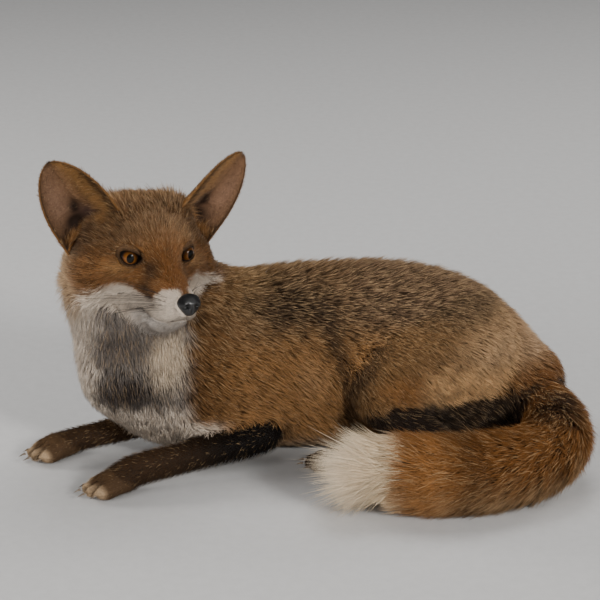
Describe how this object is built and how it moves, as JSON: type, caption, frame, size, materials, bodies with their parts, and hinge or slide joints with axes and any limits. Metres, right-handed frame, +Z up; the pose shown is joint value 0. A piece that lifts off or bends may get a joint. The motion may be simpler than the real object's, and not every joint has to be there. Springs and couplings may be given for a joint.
{
  "type": "taxidermy fox",
  "caption": "Life-size mounted red fox lying on its chest, forelegs out, head turned over its left side and bushy white-tipped tail curled along its flank.",
  "frame": {"origin": "middle of the base of the bounding box, on the floor that the fox lies on", "axes": "+X from the head end of the trunk to the rump, +Y to the fox's right, +Z up"},
  "size_m": [0.5702, 0.3196, 0.3234],
  "materials": {
    "orange_fur": "dense grizzled orange-brown fur",
    "white_fur": "long off-white fur",
    "dark_fur": "short dark brown fur",
    "paw_fur": "short buff-brown fur",
    "ear_fur": "short fur, pale inside the cup",
    "glass_eye": "polished, orange-brown",
    "nose_skin": "fine-grained, satin black",
    "claw_horn": "smooth horn"
  },
  "bodies": {
    "root": {"head": "orange_fur", "nose": "nose_skin", "neck": "white_fur", "trunk": "orange_fur", "eye_left": "glass_eye", "ear_left": "ear_fur", "foreleg_left": "dark_fur", "forepaw_left": "paw_fur", "thigh_left": "orange_fur", "shank_left": "dark_fur", "hind_foot_left": "dark_fur", "hind_paw_left": "paw_fur", "claw_fore_left_1": "claw_horn", "claw_hind_left_1": "claw_horn", "claw_fore_left_2": "claw_horn", "claw_hind_left_2": "claw_horn", "claw_fore_left_3": "claw_horn", "claw_hind_left_3": "claw_horn", "claw_fore_left_4": "claw_horn", "claw_hind_left_4": "claw_horn", "eye_right": "glass_eye", "ear_right": "ear_fur", "foreleg_right": "dark_fur", "forepaw_right": "paw_fur", "thigh_right": "orange_fur", "shank_right": "dark_fur", "hind_foot_right": "dark_fur", "hind_paw_right": "paw_fur", "claw_fore_right_1": "claw_horn", "claw_hind_right_1": "claw_horn", "claw_fore_right_2": "claw_horn", "claw_hind_right_2": "claw_horn", "claw_fore_right_3": "claw_horn", "claw_hind_right_3": "claw_horn", "claw_fore_right_4": "claw_horn", "claw_hind_right_4": "claw_horn", "tail_base": "orange_fur", "tail_middle": "orange_fur", "tail_tip": "white_fur"}
  },
  "joints": []
}
